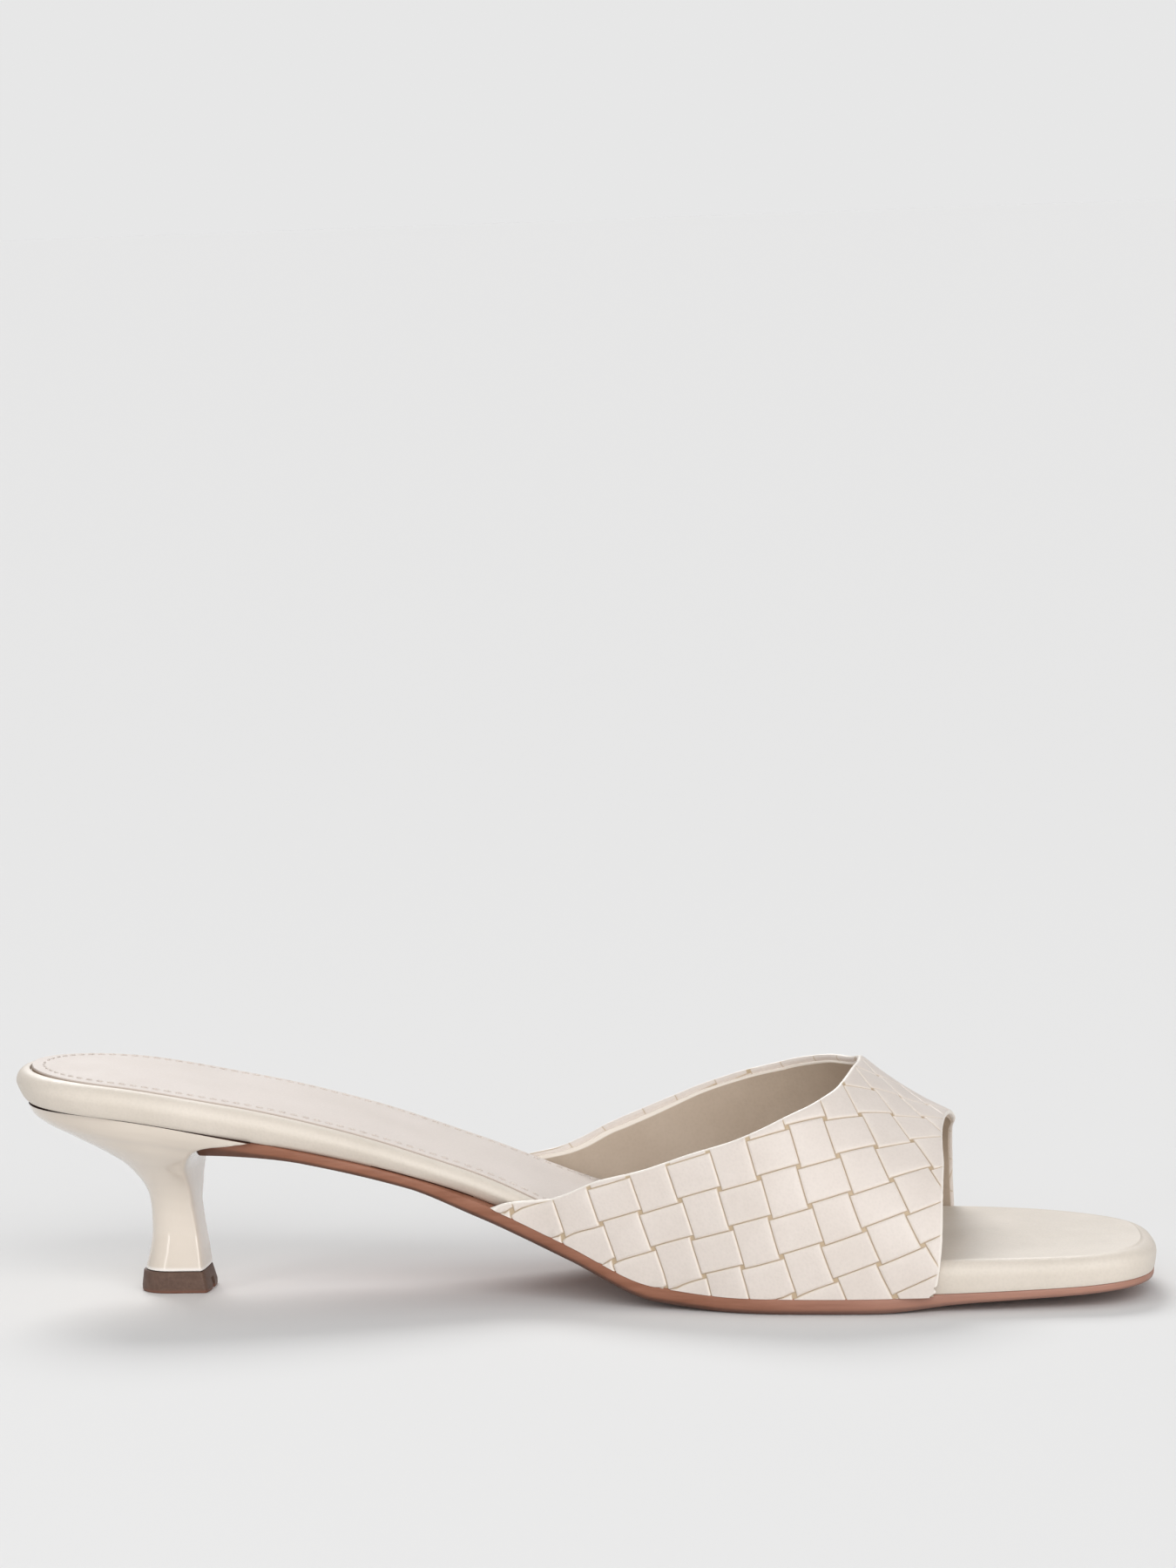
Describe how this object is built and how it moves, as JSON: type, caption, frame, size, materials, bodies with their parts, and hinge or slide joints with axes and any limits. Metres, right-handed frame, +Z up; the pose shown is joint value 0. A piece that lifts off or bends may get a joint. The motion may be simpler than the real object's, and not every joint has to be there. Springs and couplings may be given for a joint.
{
  "type": "kitten heel mule",
  "caption": "Slip-on open-toe mule with a wide woven-look leather band, wrapped footbed, thin sole and a low swept kitten heel with a rubber top piece.",
  "frame": {"origin": "middle of the shoe's footprint, at floor height", "axes": "+X along the foot to the toe, +Y to the outer side of the left foot, +Z up"},
  "size_m": [0.2512, 0.0838, 0.0514],
  "materials": {
    "outsole": "smooth brown sole, stained edge",
    "footbed": "cream leather wrapped round the board",
    "sock": "thin cream lining leather, matt",
    "upper": "cream leather embossed as a plain weave, satin",
    "heel": "cream lacquer, glossy",
    "heel_tip": "dense brown rubber"
  },
  "bodies": {
    "root": {"outsole": "outsole", "footbed": "footbed", "sock": "sock", "upper": "upper", "heel": "heel", "heel_tip": "heel_tip"}
  },
  "joints": []
}
